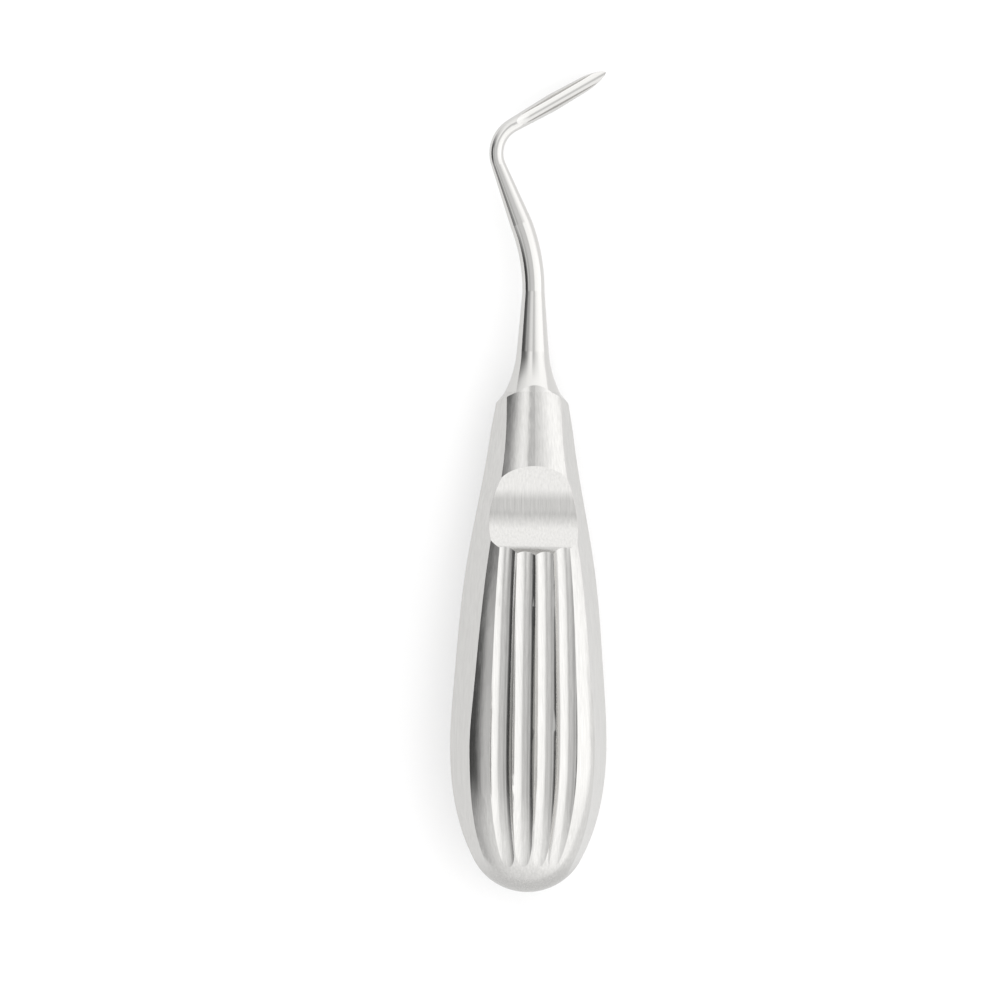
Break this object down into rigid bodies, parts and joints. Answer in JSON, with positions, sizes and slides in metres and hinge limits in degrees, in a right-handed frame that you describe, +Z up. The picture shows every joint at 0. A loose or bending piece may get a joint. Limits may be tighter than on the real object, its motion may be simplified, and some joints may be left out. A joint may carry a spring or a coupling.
{
  "type": "dental elevator",
  "caption": "Stainless dental elevator with a fluted pear-shaped handle, a scooped thumb rest and a bent shank ending in a gouge blade.",
  "frame": {"origin": "centre of the bounding box, on the plane the instrument lies on", "axes": "+Y from the butt of the handle towards the blade, +Z up out of the side with the thumb rest, +X towards the side the blade points to"},
  "size_m": [0.0266, 0.1394, 0.0198],
  "materials": {
    "satin_steel": "satin, ground along its length",
    "polished_steel": "polished"
  },
  "bodies": {
    "root": {"handle": "satin_steel", "working_end": "polished_steel"}
  },
  "joints": []
}
